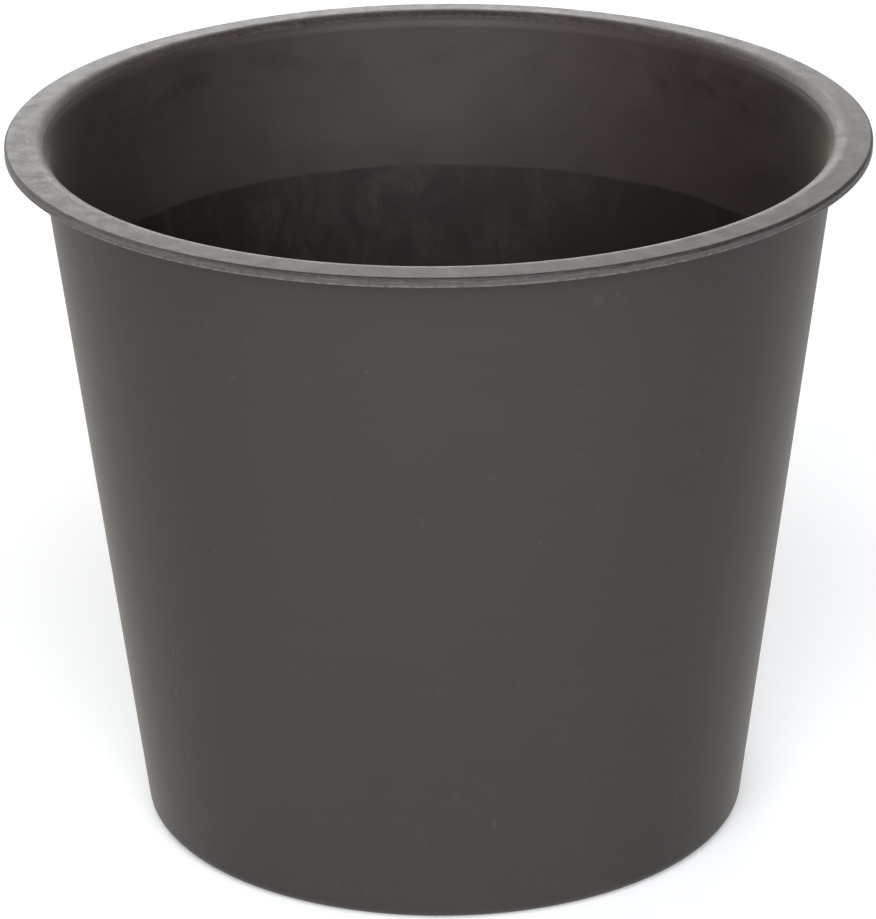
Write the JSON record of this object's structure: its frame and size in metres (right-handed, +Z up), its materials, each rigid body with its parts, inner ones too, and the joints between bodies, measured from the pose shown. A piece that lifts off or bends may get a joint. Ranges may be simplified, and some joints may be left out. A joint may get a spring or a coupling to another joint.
{
  "type": "florist bucket",
  "caption": "Round tapered plastic flower bucket, open at the top, with a flat flange rim and a hollow base that stands on a ring.",
  "frame": {"origin": "centre of the ring that the bucket stands on, in the plane of the surface under it", "axes": "+Z is up, along the bucket's axis from the base to the mouth; X and Y are any two directions across it, because it is a body of revolution"},
  "size_m": [0.3, 0.3, 0.252],
  "materials": {
    "charcoal_plastic": "moulded charcoal black polypropylene, fine grain, satin on the rim, dull and scuffed inside"
  },
  "bodies": {
    "root": {"bucket": "charcoal_plastic"}
  },
  "joints": []
}
